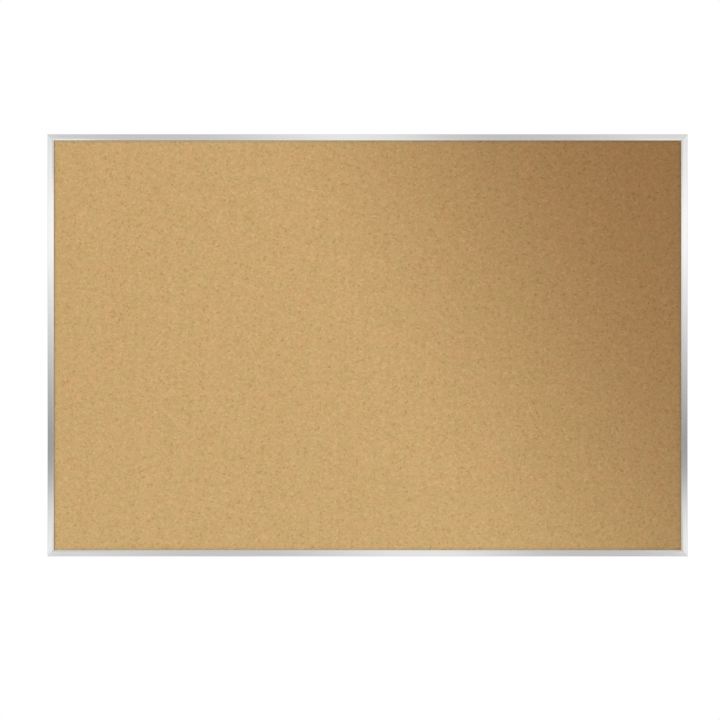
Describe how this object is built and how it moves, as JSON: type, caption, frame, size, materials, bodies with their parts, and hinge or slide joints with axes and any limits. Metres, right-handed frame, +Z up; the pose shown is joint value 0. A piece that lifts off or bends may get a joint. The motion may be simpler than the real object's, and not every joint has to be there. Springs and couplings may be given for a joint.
{
  "type": "cork bulletin board",
  "caption": "Wall-hung cork bulletin board in a slim mitred aluminium frame, with a fibreboard core, corner keys, spring clips and sliding keyhole hangers at the back.",
  "frame": {"origin": "on the wall plane, behind the middle of the board", "axes": "+X along the board's width, to the right seen from the front; +Y out of the back towards the wall; +Z up"},
  "size_m": [0.9144, 0.021, 0.6032],
  "materials": {
    "cork": "matte",
    "fibreboard": "matte",
    "paper": "matte",
    "aluminium": "satin",
    "zinc_steel": "satin",
    "screw_steel": "satin",
    "spring_steel": "satin",
    "rubber": "matte"
  },
  "bodies": {
    "board": {"cork_sheet": "cork", "fibreboard_core": "fibreboard", "backing_paper": "paper", "top_rail": "aluminium", "bottom_rail": "aluminium", "left_rail": "aluminium", "right_rail": "aluminium", "top_left_corner_key": "zinc_steel", "top_right_corner_key": "zinc_steel", "bottom_left_corner_key": "zinc_steel", "bottom_right_corner_key": "zinc_steel", "top_left_corner_shim": "zinc_steel", "top_right_corner_shim": "zinc_steel", "bottom_left_corner_shim": "zinc_steel", "bottom_right_corner_shim": "zinc_steel", "top_left_clamp_screws": "screw_steel", "top_right_clamp_screws": "screw_steel", "bottom_left_clamp_screws": "screw_steel", "bottom_right_clamp_screws": "screw_steel", "top_left_spring_clip": "spring_steel", "top_middle_spring_clip": "spring_steel", "top_right_spring_clip": "spring_steel", "bottom_left_spring_clip": "spring_steel", "bottom_middle_spring_clip": "spring_steel", "bottom_right_spring_clip": "spring_steel", "left_upper_spring_clip": "spring_steel", "left_lower_spring_clip": "spring_steel", "right_upper_spring_clip": "spring_steel", "right_lower_spring_clip": "spring_steel", "top_left_bumper": "rubber", "top_right_bumper": "rubber", "bottom_left_bumper": "rubber", "bottom_right_bumper": "rubber"},
    "left_hanger": {"left_hanger_plate": "zinc_steel", "left_hanger_screws": "screw_steel"},
    "right_hanger": {"right_hanger_plate": "zinc_steel", "right_hanger_screws": "screw_steel"}
  },
  "joints": [
    {"name": "left_hanger_slide", "type": "slide", "parent": "board", "child": "left_hanger", "axis": [1, 0, 0], "range_m": [-0.16, 0.16]},
    {"name": "right_hanger_slide", "type": "slide", "parent": "board", "child": "right_hanger", "axis": [1, 0, 0], "range_m": [-0.16, 0.16]}
  ]
}
